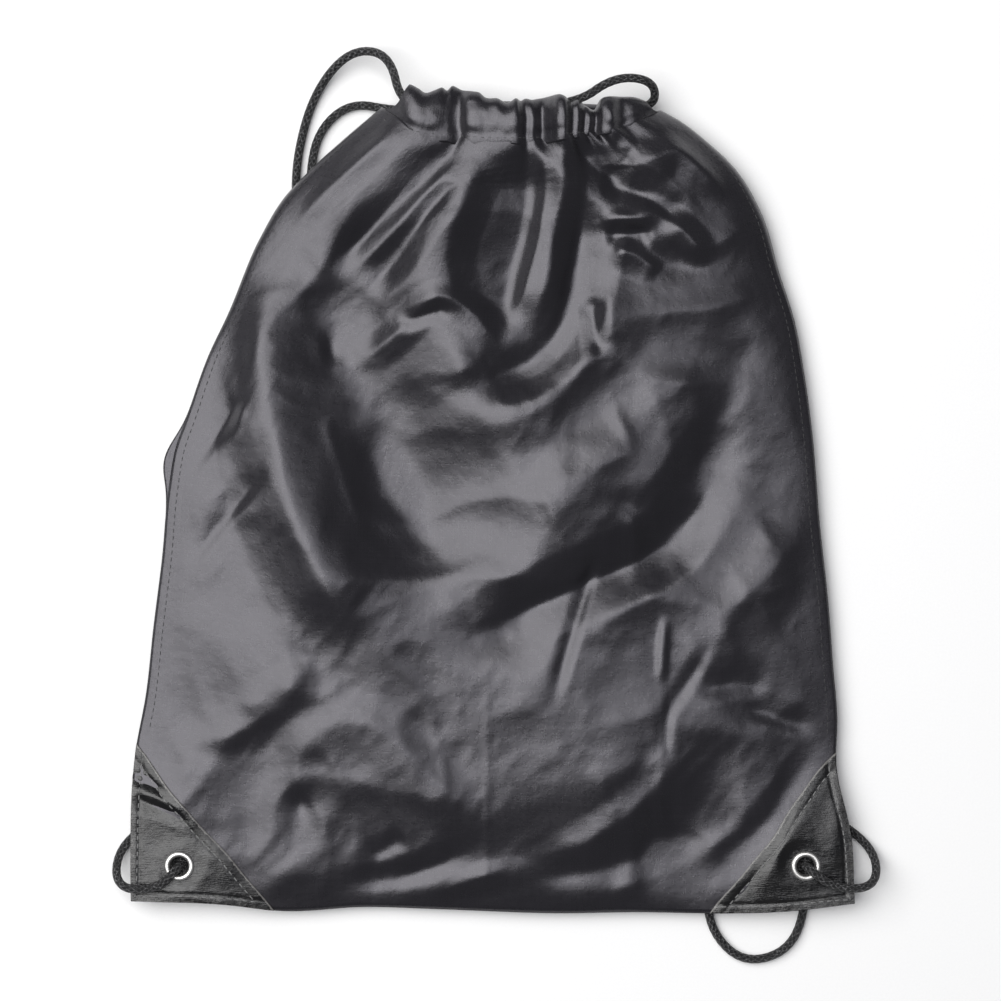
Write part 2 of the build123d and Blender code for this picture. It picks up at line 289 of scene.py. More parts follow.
RIM = [
    (-52, 380), (-46, 384), (-40, 388.3), (-35, 386), (-31.5, 384), (-27, 385.3), (-23.6, 386.5),
    (-21.3, 385.2), (-19, 387.3), (-14, 385.3), (-10, 384.6), (-7, 384), (-3, 381.3), (2, 381), (5, 379.6),
    (7, 379), (9, 379.6), (11.5, 381), (13.5, 380), (16, 381.2), (19, 380.6), (22, 381.4), (34, 381.6),
    (36.2, 379.6), (39.5, 380.6), (43, 378), (46.5, 376.2), (50, 380.6), (60, 382.5), (68, 382),
    (74, 379.6), (79, 377.5),
]
# How the gathered cloth stands at its stitch line: place across, and share of its height over the mean
GATHER_HEIGHT = 1.4
GATHER = [
    (-52, 0), (-44, 1.0), (-37, 1.5), (-29, 0.7), (-21, -0.6), (-14.5, -2.4), (-12, -1.0), (-4, 0.2),
    (6, 0.8), (12, 0.9), (15.5, -1.7), (18.5, -1.2), (23, -3.2), (27, -0.7), (31, 2.0), (33.5, 2.3),
    (37, -0.6), (39.5, -0.3), (42.5, -2.3), (44.5, -1.8), (47.5, -2.8), (51, 0.2), (55, 1.4), (60, -0.5),
    (66, 0.7), (71, 0.4), (79, 0),
]


def curve_through(points, share):
    """Places at shares of the way along a smooth line through points: cubic pieces whose slopes are the
    neighbours' differences."""
    p = np.asarray(points, float)
    d = np.r_[0.0, np.cumsum(np.linalg.norm(np.diff(p, axis=0), axis=1))]
    d /= d[-1]
    slope = np.gradient(p, d, axis=0)
    share = np.clip(share, 0.0, 1.0)
    i = np.clip(np.searchsorted(d, share, side="right") - 1, 0, len(d) - 2)
    h = (d[i + 1] - d[i])[..., None]
    t = ((share - d[i]) / (d[i + 1] - d[i]))[..., None]
    return ((1 + 2 * t) * (1 - t) ** 2 * p[i] + t * (1 - t) ** 2 * h * slope[i]
            + t * t * (3 - 2 * t) * p[i + 1] + t * t * (t - 1) * h * slope[i + 1])


def smooth_step(low, high, value):
    """0 below low, 1 above high and an even S between them."""
    t = np.clip((value - low) / (high - low), 0.0, 1.0)
    return t * t * (3 - 2 * t)


def plan_places(u, v, top_row=STITCH_ROW):
    """Place in plan of a point u of the way across and v of the way up: the patch that its four edges
    span."""
    left, right = curve_through(LEFT_EDGE, v), curve_through(RIGHT_EDGE, v)
    bottom, top = curve_through(BOTTOM_EDGE, u), curve_through(top_row, u)
    a, b = u[..., None], v[..., None]
    corners = ((1 - a) * (1 - b) * np.array(LEFT_EDGE[0]) + a * (1 - b) * np.array(RIGHT_EDGE[0])
               + (1 - a) * b * np.array(LEFT_EDGE[-1]) + a * b * np.array(RIGHT_EDGE[-1]))
    return (1 - a) * left + a * right + (1 - b) * bottom + b * top - corners


# ---- how the cloth lies

LATTICE = 64
# Crumples of the cloth: size across and height, coarse to fine
CRUMPLES = ((62, 4.2), (34, 2.2), (18, 0.85), (9, 0.26))
FACET_BLUNT = 0.01  # rounds the creases where facets meet


def value_noise(x, y, cell, seed):
    """Smooth noise from -1 to 1: random values on a square lattice of that cell, blended between its
    corners."""
    lattice = np.random.RandomState(seed).uniform(-1, 1, (LATTICE, LATTICE))
    gx, gy = x / cell, y / cell
    ix, iy = np.floor(gx).astype(int), np.floor(gy).astype(int)
    fx, fy = gx - ix, gy - iy
    sx, sy = fx ** 3 * (fx * (fx * 6 - 15) + 10), fy ** 3 * (fy * (fy * 6 - 15) + 10)
    left, right, low, high = ix % LATTICE, (ix + 1) % LATTICE, iy % LATTICE, (iy + 1) % LATTICE
    a, b = lattice[left, low], lattice[right, low]
    c, d = lattice[left, high], lattice[right, high]
    return (a * (1 - sx) + b * sx) * (1 - sy) + (c * (1 - sx) + d * sx) * sy


def crumple(x, y, seed):
    """Crumpled cloth: flat facets that meet in creases, from noise folded about zero, at four sizes."""
    wx = x + 9 * value_noise(x, y, 45, seed + 1)
    wy = y + 9 * value_noise(x, y, 45, seed + 2)
    height = np.zeros_like(x)
    for k, (cell, size) in enumerate(CRUMPLES):
        cos, sin = math.cos(0.5 + 1.1 * k), math.sin(0.5 + 1.1 * k)
        turned = value_noise(wx * cos - wy * sin, (wx * sin + wy * cos) * 0.8, cell, seed + 10 + k)
        fold = np.sqrt(turned ** 2 + FACET_BLUNT)
        height += size * (0.45 - fold)
    return height


# Folds of the front cloth: the line of each, how far it reaches to the left and to the right of the way the
# line runs, and its height. A negative height is a valley.
FRONT_FOLDS = [
    # two narrow ridges below the middle of the gather, and the hollow beside them
    ([(17, 374), (24, 349), (23, 325), (16, 296), (9, 271)], 2.2, 4.5, 3),
    ([(31, 374), (32, 337), (29, 319), (23, 290), (17, 271)], 5, 3, 4.4),
    ([(13, 362), (17, 345), (15, 320), (9, 296), (1, 264)], 4, 21, -8.5),
    ([(-4, 356), (-15, 332), (-22, 306), (-16, 280)], 7, 20, 4.5),
    # the hooked valley and the bright band round it
    ([(37, 348), (41, 325), (38, 300), (32, 277), (20, 261), (2, 251), (-15, 247)], 5, 11, -8),
    ([(56, 300), (51, 275), (38, 253), (20, 241), (-14, 236)], 11, 5, 3.2),
    ([(46, 291), (48, 276), (50, 260)], 2, 3.4, -3),
    # right of the ridges, over the right shoulder
    ([(36, 374), (42, 355), (52, 347), (64, 341)], 4, 7, -5.5),
    ([(49, 376), (55, 362), (64, 347)], 3.5, 4.5, 3.6),
    ([(61, 371), (58, 357), (66, 349)], 4, 5, -4),
    ([(64, 346), (76, 354), (86, 357), (99, 348), (112, 334)], 5, 6, 3.4),
    ([(49, 340), (62, 339), (73, 334), (88, 320)], 3.4, 2.4, -4.8),
    ([(60, 331), (76, 328), (91, 317), (101, 303)], 3.5, 4.5, 3.4),
    ([(49, 324), (62, 325), (75, 324)], 2, 2, 2),
    ([(51, 318), (63, 318), (75, 320)], 3.5, 2, -3.2),
    ([(55, 313), (66, 308), (79, 300)], 3, 5, 2.6),
    # left shoulder
    ([(-12, 361), (-24, 350), (-42, 334), (-61, 316), (-80, 300)], 4, 8.5, -6),
    ([(-17, 344), (-30, 328), (-45, 308), (-60, 291)], 3.5, 7, -4.2),
    ([(-14, 353), (-30, 338), (-47, 319), (-68, 299)], 3.5, 4.5, 2.6),
    ([(-34, 377), (-56, 357), (-78, 338), (-96, 318)], 4, 5, 2.2),
    ([(-66, 255), (-46, 271), (-23, 288), (-8, 281), (3, 263)], 4.5, 5, 3.2),
    ([(-44, 276), (-32, 281), (-19, 285)], 3, 1.8, -2.4),
    # the long dark fall from the left shoulder, between a ridge on its outer side and a foot on its inner
    # side
    ([(-90, 318), (-77, 278), (-58, 230), (-34, 184), (-16, 142)], 24, 25, -10.5),
    ([(-112, 318), (-109, 276), (-102, 230), (-90, 182), (-70, 146), (-42, 124)], 25, 14, 9.5),
    ([(-114, 247), (-128, 227), (-143, 207)], 2.2, 5, -1.6),
    ([(-104, 211), (-124, 187), (-146, 160)], 2.4, 6, -1.7),
    # right side
    ([(101, 259), (71, 234), (45, 204), (22, 173), (8, 150)], 18, 12, 4),
    ([(104, 207), (97, 193), (78, 171), (52, 159), (22, 146), (-7, 132)], 3.5, 9, -6.5),
    ([(110, 190), (93, 160), (67, 146), (40, 127)], 8, 5, 1.2),
    ([(49, 172), (42, 148), (35, 125), (28, 99)], 1.5, 3, -1.8),
    ([(124, 276), (111, 243), (99, 216), (89, 195)], 14, 11, -3.4),
    ([(81, 141), (79.5, 125), (79, 108)], 1.6, 1.6, 1.4),
    ([(103, 130), (92, 110), (81, 92), (83, 69)], 2.4, 3, -1.3),
    ([(94, 103), (112, 109), (131, 105)], 7, 4, -1.8),
    ([(115, 98), (135, 92), (154, 86)], 5, 3, -1.6),
    ([(100, 12), (121, 36), (140, 59), (157, 86)], 5, 7, -2.2),
    # lower half
    ([(85, 93), (82, 69), (64, 47), (41, 33), (18, 27)], 11, 6, 2.8),
    ([(106, 43), (80, 31), (50, 22), (13, 16)], 6, 12, -3),
    ([(-93, 50), (-88, 80), (-60, 91), (-38, 73), (-18, 54), (-1, 34)], 7, 14, 2.4),
    ([(-59, 27), (-50, 31), (-40, 37)], 4, 3, -1.4),
    ([(-50, 6), (-20, 12), (9, 22)], 4, 5, 2.2),
    ([(-72, 13), (-40, 18), (-10, 30)], 5, 3, -2.2),
    ([(-120, 96), (-97, 104), (-84, 121)], 6, 6, 1.3),
    ([(-3, 2), (-2.4, 60), (-2.8, 118)], 1.2, 1.2, 0.22),
    ([(79, 66), (79.4, 84), (79, 106)], 1.2, 1.2, 0.25),
]
# Hollows and swells: centre, half widths and height
FRONT_DENTS = [
    ((12, 130), (22, 13), -3.4), ((56, 66), (27, 24), 3), ((-40, 240), (15, 17), -3),
    ((-12, 258), (10, 9), 1.8), ((-76, 264), (3, 7), -1.2), ((64, 192), (9, 7), -2),
    ((-90, 52), (5, 6), -1.6), ((30, 212), (30, 24), 2.6), ((-112, 120), (26, 22), 2.2),
    ((84, 306), (20, 9), -2.4), ((130, 150), (14, 30), 2),
]
TENT_REACH = 1.85  # how many of a fold's reaches it takes to die out
TENT_EASE = 1.35  # how much steeper a fold is at its line than at its foot
TENT_BLUNT = 0.14  # roundness of its ridge over its width
STEEPEST = 0.42  # height of a fold over its width, at most


def fold_height(x, y, points, reach_left, reach_right, height):
    """One fold: a tent across its line, steepest at the line and easing out to each side's own reach, which
    fades in and out along the line. The distance is to the nearest place on the line's straight pieces."""
    line = curve_through(points, np.linspace(0, 1, 28))
    margin = 2.8 * max(reach_left, reach_right)
    low, high = line.min(0) - margin, line.max(0) + margin
    near = (x > low[0]) & (x < high[0]) & (y > low[1]) & (y < high[1])
    start, run = line[:-1], np.diff(line, axis=0)
    dx, dy = x[near][:, None] - start[:, 0], y[near][:, None] - start[:, 1]
    t = np.clip((dx * run[:, 0] + dy * run[:, 1]) / (run ** 2).sum(1), 0, 1)
    square = (dx - t * run[:, 0]) ** 2 + (dy - t * run[:, 1]) ** 2
    best = square.argmin(1)
    pick = np.arange(len(best))
    side = (run[best, 0] * dy[pick, best] - run[best, 1] * dx[pick, best]) / np.hypot(*run[best].T)
    away = np.sqrt(square[pick, best])
    lean = smooth_step(-0.5, 0.5, side / (away + 0.3))
    reach = reach_right + (reach_left - reach_right) * lean
    width = np.maximum(TENT_REACH * reach, abs(height) / STEEPEST)
    along = (best + t[pick, best]) / len(run)
    fade = smooth_step(0.0, 0.25, along) * smooth_step(0.0, 0.25, 1 - along)
    soft = TENT_BLUNT * width
    blunt = np.sqrt(away ** 2 + soft ** 2) - soft
    lift = np.zeros_like(x)
    lift[near] = height * np.clip(1 - blunt / width, 0, 1) ** TENT_EASE * (0.1 + 0.9 * fade)
    return lift


def dense(points):
    """A smooth line through points, close enough to be read by straight pieces."""
    return curve_through(points, np.linspace(0, 1, 600))


def height_along(line, x):
    """Second value of a smooth line through points, where its first is x."""
    return np.interp(x, *dense(line).T)


PLEAT_RUN = 0.035  # share of the cloth's length that a narrow pleat runs down
WIDE_PLEAT_RUN = 0.12


def mouth_of(u):
    """Place across of the stitch line at u."""
    return curve_through(STITCH_ROW, u)[..., 0]


def pleats(u, v):
    """The gather's standing height at the stitch line, running down the cloth and dying out, narrow pleats
    first."""
    mouth = mouth_of(u)
    down = 1 - v
    wide = sum(height_along(GATHER, mouth + shift) for shift in (-6, -3, 0, 3, 6)) / 5
    narrow = height_along(GATHER, mouth) * np.exp(-(down / PLEAT_RUN) ** 2)
    wide = 0.8 * wide * smooth_step(0.0, 0.05, down) * np.exp(-down / WIDE_PLEAT_RUN)
    return GATHER_HEIGHT * (narrow + wide)


SEAM = 7.2  # height of the seam between front and back
CORNER_LIFT = 4.2  # more of it over the cords at the corners
MOUTH_LIFT = 4.5  # and at the mouth
HALF_WIDTH = 169.75
SWELL, MOUTH_SWELL = 12.0, 6.0  # how far the front stands over its seams, and how much more at the mouth
LEAST_SWELL = 0.5  # the front eases back from the seam's height where a valley would pass it


def seam_line_height(x, y, v):
    """Height of the line where front and back meet: up on the cords at the corners, lower along the sides."""
    corner = np.hypot(170 - np.abs(x), y - 5)
    return SEAM + CORNER_LIFT * np.exp(-(corner / 62) ** 4) + MOUTH_LIFT * smooth_step(0.75, 1.0, v)


def corner_distance(x, y):
    """How far a place is from its bottom corner, counted along both edges together."""
    return (HALF_WIDTH - np.abs(x)) + y


def front_swell(u, v, x, y):
    """How far the empty front stands over its seams: an arch across that is fuller at the mouth, a rise
    from the bottom seam, and nothing at the corner patches."""
    aside = np.abs(2 * u - 1)
    flat = np.clip(1 - aside ** 2, 0, 1) ** 0.8
    full = np.clip(1 - aside ** 2.6, 0, 1) ** 0.62
    across = flat + (full - flat) * smooth_step(0.55, 0.9, v)
    along = np.clip(1 - (1 - np.clip(v / 0.42, 0, 1)) ** 2, 0, 1) ** 0.8
    height = SWELL + MOUTH_SWELL * smooth_step(0.45, 0.95, v)
    return height * across * along * smooth_step(38, 105, corner_distance(x, y))


def front_height(u, v, x, y):
    """Height of the front cloth's outer face: the seam line, the swell, the folds, the pleats of the gather
    and the crumple, all fading towards the seams and the corner patches."""
    folds = sum(fold_height(x, y, *fold) for fold in FRONT_FOLDS)
    for (cx, cy), (rx, ry), depth in FRONT_DENTS:
        folds = folds + depth * np.exp(-((x - cx) / rx) ** 2 - ((y - cy) / ry) ** 2)
    rough = crumple(x, y, 7) * (1 - 0.55 * smooth_step(0.72, 0.98, v))
    inside = smooth_step(0.0, 0.09, u) * smooth_step(0.0, 0.09, 1 - u) * smooth_step(0.0, 0.05, v)
    quiet = 0.06 + 0.94 * smooth_step(40, 82, corner_distance(x, y))
    below_mouth = 1 - smooth_step(0.95, 1.0, v)
    detail = (folds * below_mouth + pleats(u, v)) * inside + rough * (0.12 + 0.88 * inside)
    rise = front_swell(u, v, x, y) + detail * quiet
    spare = rise - LEAST_SWELL
    eased = 0.5 * (spare + np.sqrt(spare ** 2 + 1.2))
    return seam_line_height(x, y, v) + rise + inside * (eased - spare)


BACK_LOW, BACK_MOUTH, BACK_LOWEST = 0.9, 4.0, 0.6


def back_height(u, v, x, y):
    """Height of the back cloth's outer face: it sags to the surface in the middle, is held up by the cords
    on both sides, and rises to the seam line at its edges."""
    aside = np.abs(2 * u - 1)
    edge = seam_line_height(x, y, v) - 2 * CLOTH - 0.1
    sag = BACK_LOW + 4.9 * smooth_step(0.12, 0.5, aside)
    sag = sag + (BACK_MOUTH - BACK_LOW) * smooth_step(0.9, 1.0, v)
    hem = np.maximum(smooth_step(0.72, 1.0, aside), 1 - smooth_step(0.0, 0.09, v))
    inside = smooth_step(0.0, 0.1, 1 - aside) * smooth_step(0, 0.06, v)
    wrinkle = 0.25 * np.maximum(crumple(x, y, 31), -1.2) * inside
    return np.maximum(sag + (edge - sag) * hem + wrinkle, BACK_LOWEST)


def bag_grid():
    """The shares u and v of every grid point of a panel, with rows closer together towards the mouth."""
    v = np.linspace(0, 1, ROWS)
    return np.meshgrid(np.linspace(0, 1, COLUMNS), v + 0.06 * np.sin(math.pi * v))


def eyelet_distance(x, y):
    """Distance in plan from the nearer eyelet's axis."""
    return np.hypot(np.abs(x) - EYELET[0], y - EYELET[1])


def without_eyelets(faces, places):
    """Leaves out the faces over the eyelet holes. places are in millimetres."""
    middle = places[faces].mean(1)
    return faces[eyelet_distance(middle[:, 0], middle[:, 1]) > EYELET_HOLE_CUT]


def give_thickness(piece, thickness):
    """A wall of even thickness under the outer face."""
    wall = piece.modifiers.new("wall", "SOLIDIFY")
    wall.thickness = thickness * MM
    wall.offset = -1.0
    wall.use_even_offset = False


def sew_on(piece, slot, *nodes):
    """The piece stays with the bag and stands for those CAD nodes, which it hides; slot is not used."""
    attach(piece, "bag")
    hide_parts(*nodes)


# ---- materials

class Finish:
    """A material with a few short ways to add nodes and join them."""

    def __init__(self, name, **sockets):
        self.material = bpy.data.materials.new(name)
        self.material.use_nodes = True
        self.tree = self.material.node_tree
        self.shader = self.tree.nodes["Principled BSDF"]
        for socket, value in sockets.items():
            self.shader.inputs[socket.replace("_", " ")].default_value = value

    def add(self, kind, inputs=(), **settings):
        node = self.tree.nodes.new(kind)
        for key, value in settings.items():
            setattr(node, key, value)
        for socket, value in dict(inputs).items():
            if isinstance(value, bpy.types.NodeSocket):
                self.tree.links.new(value, node.inputs[socket])
            else:
                node.inputs[socket].default_value = value
        return node

    def maths(self, operation, *values):
        return self.add("ShaderNodeMath", dict(enumerate(values)), operation=operation).outputs[0]

    def place(self, source="UV", scale=(1, 1, 1), turn=0.0):
        coordinates = self.add("ShaderNodeTexCoord").outputs[source]
        mapping = {"Vector": coordinates, "Scale": scale, "Rotation": (0, 0, turn)}
        return self.add("ShaderNodeMapping", mapping).outputs[0]

    def noise(self, place, scale, detail=3.0, rough=0.5):
        inputs = {"Vector": place, "Scale": scale, "Detail": detail, "Roughness": rough}
        return self.add("ShaderNodeTexNoise", inputs).outputs["Fac"]

    def spread(self, value, low, high, new_low, new_high):
        inputs = {0: value, 1: low, 2: high, 3: new_low, 4: new_high}
        return self.add("ShaderNodeMapRange", inputs).outputs[0]

    def ramp(self, value, *stops):
        node = self.add("ShaderNodeValToRGB", {0: value})
        elements = node.color_ramp.elements
        for element, (position, colour) in zip(elements, stops):
            element.position = position
            element.color = (*colour, 1)
        for position, colour in stops[2:]:
            elements.new(position).color = (*colour, 1)
        return node.outputs[0]

    def mix(self, share, colour, other):
        return self.add("ShaderNodeMix", {0: share, 6: colour, 7: other}, data_type="RGBA").outputs[2]

    def bump(self, *layers):
        """Bump from (height, distance in metres) pairs, one over another."""
        normal = None
        for height, distance in layers:
            inputs = {"Height": height, "Distance": distance, "Strength": 1.0}
            if normal is not None:
                inputs["Normal"] = normal
            normal = self.add("ShaderNodeBump", inputs).outputs[0]
        self.into("Normal", normal)

    def into(self, socket, value):
        self.tree.links.new(value, self.shader.inputs[socket])


WEAVE_MM = 0.42  # one warp and one weft thread of the nylon


def shaded(colour, share):
    """The same colour, darker or lighter."""
    return tuple(share * c for c in colour)


def waves(finish, place, axis, pitch):
    """An even wave of that pitch along one axis, from -1 to 1."""
    parts = finish.add("ShaderNodeSeparateXYZ", {0: place})
    turns = finish.maths("MULTIPLY", parts.outputs[axis], 2 * math.pi / pitch)
    return finish.maths("SINE", turns)


def nylon_finish(name, colour):
    """Black coated taffeta: a plain weave whose threads go over and under, streaks where single threads
    differ, and a cool satin gloss that is duller where it is scuffed."""
    f = Finish(name, Specular_Tint=(0.95, 0.93, 1.0, 1), Specular_IOR_Level=0.58, IOR=1.6, Sheen_Weight=0.05,
               Sheen_Roughness=0.5)
    place = f.place()
    warp, weft = waves(f, place, 0, WEAVE_MM), waves(f, place, 1, WEAVE_MM)
    weave = f.maths("MULTIPLY", warp, weft)
    warp_streak = f.noise(f.place(scale=(1.6, 0.03, 1)), 1.0, 2.0)
    weft_streak = f.noise(f.place(scale=(0.03, 1.6, 1)), 1.0, 2.0)
    streak = f.maths("MULTIPLY", f.maths("ADD", warp_streak, weft_streak), 0.5)
    cloud = f.noise(place, 0.03, 5.0, 0.6)
    scuff = f.noise(place, 0.35, 6.0, 0.7)
    tone = f.maths("ADD", f.maths("MULTIPLY", streak, 0.5), f.maths("MULTIPLY", cloud, 0.5))
    f.into("Base Color", f.ramp(tone, (0.3, shaded(colour, 0.8)), (0.7, shaded(colour, 1.3))))
    f.into("Roughness", f.spread(f.maths("ADD", scuff, streak), 0.6, 1.4, 0.24, 0.33))
    fine = f.noise(place, 0.16, 4.0, 0.6)
    grain = f.noise(place, 2.1, 2.0)
    f.bump((fine, 0.2 * MM), (streak, 0.04 * MM), (grain, 0.022 * MM), (weave, 0.006 * MM))
    return f.material


def leatherette_finish():
    """Glossy black leatherette: a fine ribbed grain, pores and slow waves, rubbed pale along the bag's
    edges, with the cut edge of its grey backing."""
    f = Finish("leatherette", Specular_IOR_Level=0.5, IOR=1.5, Coat_Weight=0.15, Coat_Roughness=0.12)
    place = f.place()
    cells = f.add("ShaderNodeTexVoronoi", {"Vector": place, "Scale": 1.3}).outputs["Distance"]
    ribs = f.noise(f.place(scale=(0.25, 2.2, 1), turn=0.2), 1.0, 3.0)
    cloud = f.noise(place, 0.08, 4.0)
    edge = f.add("ShaderNodeAttribute", attribute_name="edge").outputs["Fac"]
    frayed = f.maths("ADD", edge, f.spread(f.noise(place, 0.5, 3.0), 0.3, 0.7, -0.008, 0.008))
    skin = f.ramp(cloud, (0.3, (0.005, 0.005, 0.006)), (0.75, (0.011, 0.0105, 0.0105)))
    cut = f.spread(frayed, 0.983, 0.99, 0.0, 1.0)
    border = f.add("ShaderNodeAttribute", attribute_name="border").outputs["Fac"]
    patches = f.spread(f.noise(place, 0.45, 5.0, 0.7), 0.45, 0.7, 0.0, 1.0)
    rubbed = f.maths("MULTIPLY", f.spread(border, 0.2, 3.2, 1.0, 0.0), patches)
    worn = f.mix(rubbed, skin, (0.09, 0.088, 0.085, 1))
    f.into("Base Color", f.mix(cut, worn, (0.15, 0.145, 0.14, 1)))
    f.into("Roughness", f.spread(cloud, 0.3, 0.7, 0.12, 0.24))
    f.bump((f.noise(place, 0.1, 2.0), 0.7 * MM), (ribs, 0.16 * MM), (cells, 0.04 * MM))
    return f.material


def nickel_finish():
    """Bright plated nickel with light scratches and a little dulling."""
    f = Finish("nickel", Metallic=1.0)
    place = f.place("Object")
    scratch = f.noise(f.place("Object", scale=(900, 90, 400), turn=0.5), 1.0, 4.0, 0.7)
    cloud = f.noise(place, 180.0, 3.0)
    f.into("Base Color", f.ramp(cloud, (0.3, (0.74, 0.73, 0.71)), (0.7, (0.9, 0.89, 0.87))))
    f.into("Roughness", f.spread(scratch, 0.3, 0.75, 0.32, 0.5))
    f.bump((scratch, 0.02 * MM))
    return f.material


def cord_finish():
    """Black braided cord: crossing strands of fine filaments. Its colour holds painted light: pale flecks
    painted as highlights where a strand would catch the light, and painted shade in the grooves between
    strands."""
    f = Finish("braided_cord", Specular_IOR_Level=0.35, Sheen_Weight=0.04, Sheen_Roughness=0.4)
    place = f.place()
    parts = f.add("ShaderNodeSeparateXYZ", {0: place})
    around = f.maths("MULTIPLY", parts.outputs[0], 2 * math.pi * BRAID_STARTS / 2)
    turn = f.maths("MULTIPLY", parts.outputs[1], 2 * math.pi)
    one = f.maths("COSINE", f.maths("ADD", around, turn))
    other = f.maths("COSINE", f.maths("SUBTRACT", around, turn))
    strand = f.maths("MAXIMUM", one, other)
    filaments = f.maths("SINE", f.maths("MULTIPLY", f.maths("ADD", around, turn), 9.0))
    # painted light: the pale flecks are painted highlights, and the strand term paints shade into the grooves
    # between strands
    painted_glint = f.noise(f.place(scale=(9, 3.1, 1)), 1.0, 3.0, 0.7)
    painted_light_and_shade = f.maths("ADD", f.maths("MULTIPLY", strand, 0.35), painted_glint)
    stops = (0.5, (0.006, 0.006, 0.007)), (0.76, (0.013, 0.013, 0.014)), (0.94, (0.16, 0.16, 0.165))
    f.into("Base Color", f.ramp(painted_light_and_shade, *stops))
    f.into("Roughness", f.spread(painted_glint, 0.3, 0.7, 0.4, 0.62))
    f.bump((strand, 0.12 * MM), (filaments, 0.03 * MM))
    return f.material


def thread_finish(name, colour):
    """Twisted polyester thread: plies round each stitch, and a soft shine."""
    f = Finish(name, Specular_IOR_Level=0.7, Sheen_Weight=0.2)
    ply = waves(f, f.place(), 1, 0.5)
    cloud = f.noise(f.place(), 0.7, 3.0)
    f.into("Base Color", f.ramp(cloud, (0.3, shaded(colour, 0.75)), (0.7, shaded(colour, 1.25))))
    f.into("Roughness", f.spread(cloud, 0.3, 0.7, 0.38, 0.55))
    f.bump((ply, 0.05 * MM))
    return f.material


def floor_finish():
    """Matt white paper with the least tooth."""
    f = Finish("paper", Roughness=0.9, Specular_IOR_Level=0.2)
    grain = f.noise(f.place("Object"), 900.0, 3.0)
    f.into("Base Color", f.ramp(grain, (0.3, (0.95, 0.95, 0.95)), (0.7, (0.97, 0.97, 0.97))))
    f.bump((grain, 0.05 * MM))
    return f.material


NYLON = nylon_finish("nylon", (0.0095, 0.0088, 0.0112))
LEATHERETTE = leatherette_finish()
NICKEL = nickel_finish()
BRAID = cord_finish()
THREAD = thread_finish("thread", (0.03, 0.03, 0.032))
PATCH_THREAD = thread_finish("patch_thread", (0.2, 0.2, 0.2))


# ---- the cords' pieces

KNOT_LOW, KNOT_HIGH = 0.1, 8.2
KNOT_LOOP = 1.55  # size of the trefoil
KNOT_STEP = 0.36 * MM  # braid that passes from ring to ring of a knot


def knot_piece(name, x, y):
    """A pulled-up overhand knot: a tube along a trefoil, sin t + 2 sin 2t by cos t - 2 cos 2t, with its
    height swinging three times between the knot's low and high."""
    count = 220
    t = np.linspace(0, 2 * math.pi, count, endpoint=False)
    half = (KNOT_HIGH - KNOT_LOW) / 2 - CORD / 2
    line = to_frame(np.stack([
        x + KNOT_LOOP * (np.sin(t) + 2 * np.sin(2 * t)), y + KNOT_LOOP * (np.cos(t) - 2 * np.cos(2 * t)),
        (KNOT_HIGH + KNOT_LOW) / 2 - half * np.sin(3 * t),
    ], 1))
    heading = unit(np.roll(line, -1, 0) - np.roll(line, 1, 0))
    side = unit(np.cross(heading, (0, 0, 1.0)))
    up = np.cross(side, heading)
    angle, s = np.meshgrid(np.linspace(0, 2 * math.pi, AROUND, endpoint=False), np.arange(count) * KNOT_STEP)
    places = ring_places(line, side, up, angle, braid_radius(s, angle, CORD / 2 * MM))
    i, j = np.meshgrid(np.arange(count), np.arange(AROUND), indexing="ij")
    after, beside = (i + 1) % count, (j + 1) % AROUND
    faces = np.stack([i * AROUND + j, after * AROUND + j, after * AROUND + beside, i * AROUND + beside], -1)
    piece = new_mesh(name, places.reshape(-1, 3), faces.reshape(-1, 4), BRAID, braid_uv(angle, s))
    return piece


def make_cords():
    """Both cords: two strands and a bight each, with the knots under the eyelets."""
    for side, sign in (("left", -1), ("right", 1)):
        knot = knot_piece(f"{side}_cord_knot", sign * EYELET[0], EYELET[1])
        sew_on(knot, "cord", f"{side}_knot")
        for face in ("front", "back"):
            line = smooth_route(ROUTES[f"{side}_cord_{face}"])
            piece, path = cord_piece(f"{side}_{face}_cord", line, CORD / 2 * MM)
            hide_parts(*(f"{side}_cord_{face}_{part}" for part in ("run", "loop", "strap")))
            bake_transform(piece)
        line = smooth_route(ROUTES[f"{side}_cord_bight"])
        piece, path = cord_piece(f"{side}_bight_cord", line, CORD / 2 * MM)
        sew_on(piece, "cord", f"{side}_cord_bight")


# ---- panels, patches and casings

BACK_TOP = [
    (-52, 378.5), (-44, 372), (-34, 367.5), (-15, 366.5), (10, 366), (35, 366.5), (54, 367.5), (68, 371),
    (79, 377),
]


UNDER_EYELET = (8.0, 15.0)  # flat cloth out to the first distance from an eyelet, free from the second
BACK_UNDER_EYELET = 10.25
SIDE_BULGE, BULGE_AT, BULGE_LONG = 4.2, 213, 13  # where the back swells out past the left seam


def under_eyelet(x, y):
    """1 where an eyelet presses the layers flat, 0 away from it."""
    return 1 - smooth_step(*UNDER_EYELET, eyelet_distance(x, y))


def on_front(u, v):
    """Places on the front cloth's outer face, flat under the eyelets' rims."""
    plan = plan_places(u, v)
    x, y = plan[..., 0], plan[..., 1]
    z = front_height(u, v, x, y)
    return np.stack([x, y, z + (PATCH_TOP - PATCH_RISE - z) * under_eyelet(x, y)], -1)


def on_back(u, v):
    """Places on the back cloth's outer face. It swells out past the left seam where the two layers sit
    unevenly."""
    plan = plan_places(u, v, BACK_TOP)
    x, y = plan[..., 0], plan[..., 1]
    z = back_height(u, v, x, y)
    z = z + (BACK_UNDER_EYELET - z) * under_eyelet(x, y)
    x = x - SIDE_BULGE * np.exp(-((y - BULGE_AT) / BULGE_LONG) ** 2) * (1 - smooth_step(0.0, 0.05, u))
    return np.stack([x, y, z], -1)


